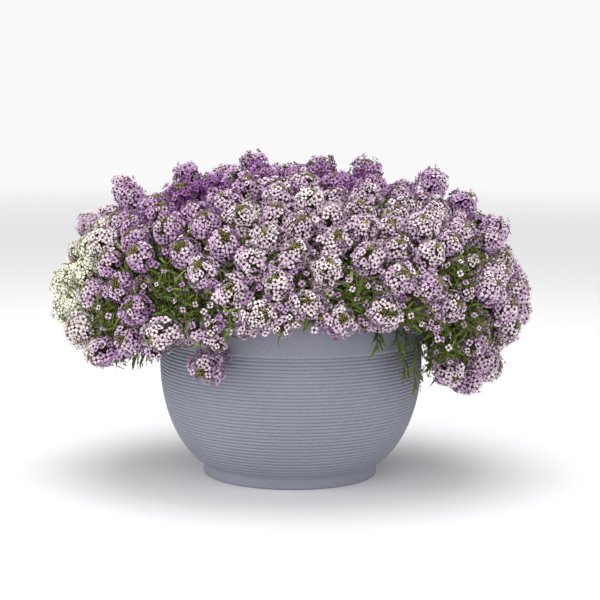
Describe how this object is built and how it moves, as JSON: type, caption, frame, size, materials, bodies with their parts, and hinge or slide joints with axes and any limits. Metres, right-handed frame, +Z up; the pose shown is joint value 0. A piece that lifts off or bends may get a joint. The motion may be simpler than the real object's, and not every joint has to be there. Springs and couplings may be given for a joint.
{
  "type": "potted sweet alyssum",
  "caption": "Mixed white, lilac and purple sweet alyssum grown into one mound that spills over a blue-grey bowl with fine ribs. The plants stand in potting soil.",
  "frame": {"origin": "middle of the bowl's foot, on the surface that it stands on", "axes": "+Z up, -Y towards the front of the mound, +X to the right of a viewer in front"},
  "size_m": [0.4596, 0.3762, 0.307],
  "materials": {
    "pot": "matte, finely speckled blue-grey",
    "soil": "crumbly peat and bark potting mix",
    "green": "grey-green leaves and stems with a soft bloom",
    "purple_flowers": "matte petals, deep purple with dark eyes",
    "white_flowers": "matte petals, creamy white with yellow-green eyes",
    "lilac_flowers": "matte petals, saturated lilac with dark eyes",
    "pink_white_flowers": "matte petals, pinkish white with lilac edges and dark eyes",
    "pale_lilac_flowers": "matte petals, pale lilac with paler middles and dark eyes"
  },
  "bodies": {
    "root": {"pot": "pot", "soil": "soil", "purple_stems": "green", "white_stems": "green", "lilac_stems": "green", "rose_stems": "green", "pale_stems": "green", "mallow_stems": "green", "violet_stems": "green", "heather_stems": "green", "mauve_stems": "green", "purple_spray_1": "purple_flowers", "purple_spray_2": "purple_flowers", "purple_spray_3": "purple_flowers", "purple_spray_4": "purple_flowers", "purple_spray_5": "purple_flowers", "purple_spray_6": "purple_flowers", "purple_spray_7": "purple_flowers", "white_spray_1": "white_flowers", "white_spray_2": "white_flowers", "white_spray_3": "white_flowers", "lilac_spray_1": "lilac_flowers", "lilac_spray_2": "lilac_flowers", "lilac_spray_3": "lilac_flowers", "lilac_spray_4": "lilac_flowers", "rose_spray_1": "pink_white_flowers", "rose_spray_2": "pink_white_flowers", "pale_spray_1": "pink_white_flowers", "pale_spray_2": "pink_white_flowers", "pale_spray_3": "pink_white_flowers", "pale_spray_4": "pink_white_flowers", "mallow_spray_1": "pale_lilac_flowers", "mallow_spray_2": "pale_lilac_flowers", "mallow_spray_3": "pale_lilac_flowers", "mallow_spray_4": "pale_lilac_flowers", "mallow_spray_5": "pale_lilac_flowers", "violet_spray_1": "pale_lilac_flowers", "violet_spray_2": "pale_lilac_flowers", "violet_spray_3": "pale_lilac_flowers", "violet_spray_4": "pale_lilac_flowers", "violet_spray_5": "pale_lilac_flowers", "violet_spray_6": "pale_lilac_flowers", "violet_spray_7": "pale_lilac_flowers", "violet_spray_8": "pale_lilac_flowers", "violet_spray_9": "pale_lilac_flowers", "violet_spray_10": "pale_lilac_flowers", "heather_spray_1": "pale_lilac_flowers", "heather_spray_2": "pale_lilac_flowers", "heather_spray_3": "pale_lilac_flowers", "heather_spray_4": "pale_lilac_flowers", "heather_spray_5": "pale_lilac_flowers", "heather_spray_6": "pale_lilac_flowers", "heather_spray_7": "pale_lilac_flowers", "mauve_spray_1": "lilac_flowers", "mauve_spray_2": "lilac_flowers", "mauve_spray_3": "lilac_flowers", "mauve_spray_4": "lilac_flowers", "mauve_spray_5": "lilac_flowers", "mauve_spray_6": "lilac_flowers"}
  },
  "joints": []
}
